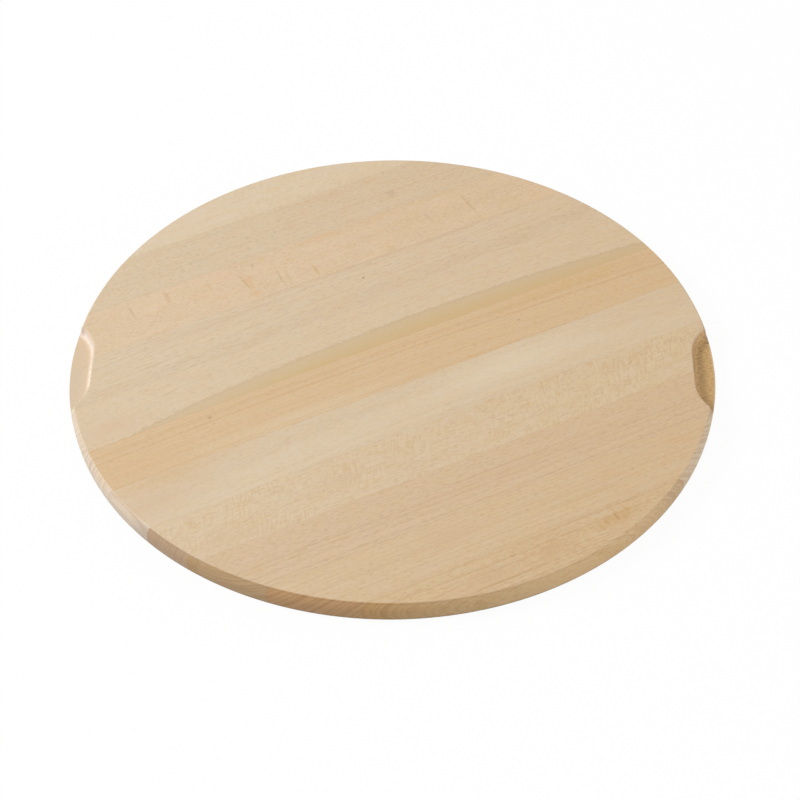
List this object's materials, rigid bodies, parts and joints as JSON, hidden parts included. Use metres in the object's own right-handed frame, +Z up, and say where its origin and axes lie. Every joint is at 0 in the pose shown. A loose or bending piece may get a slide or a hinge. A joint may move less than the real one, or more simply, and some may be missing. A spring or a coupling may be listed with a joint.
{
  "type": "round pizza board",
  "caption": "Round flat board of edge-glued beech staves with a slightly crowned rim, rounded edges and a coved finger grip cut into the top edge at either end.",
  "frame": {"origin": "middle of the flat underside, on the surface that the board stands on", "axes": "+Z up through the thickness, +X along the line that joins the two finger grips, towards the right one in the picture; the seams between staves run at 28.3 degrees to +X"},
  "size_m": [0.5, 0.5, 0.018],
  "materials": {
    "beech_01": "sanded bare beech, palest stave, matt",
    "beech_02": "sanded bare beech, fine grey-beige lines, matt",
    "beech_03": "sanded bare beech, quarter sawn with brown ray flecks, matt",
    "beech_04": "sanded bare beech, dense fine pore lines, matt",
    "beech_05": "sanded bare beech, pale with an arched figure, matt",
    "beech_06": "sanded bare beech, yellow-tan with straight growth lines, matt",
    "beech_07": "sanded bare beech, pale with wide growth lines, matt",
    "beech_08": "sanded bare beech, quarter sawn with small tan flecks, matt",
    "beech_09": "sanded bare beech, brown-grey with fine lines, matt",
    "beech_10": "sanded bare beech, golden tan, matt",
    "beech_11": "sanded bare beech, brown with rusty flecks, matt"
  },
  "bodies": {
    "root": {"stave_01": "beech_01", "stave_02": "beech_02", "stave_03": "beech_03", "stave_04": "beech_04", "stave_05": "beech_05", "stave_06": "beech_06", "stave_07": "beech_07", "stave_08": "beech_08", "stave_09": "beech_09", "stave_10": "beech_10", "stave_11": "beech_11"}
  },
  "joints": []
}
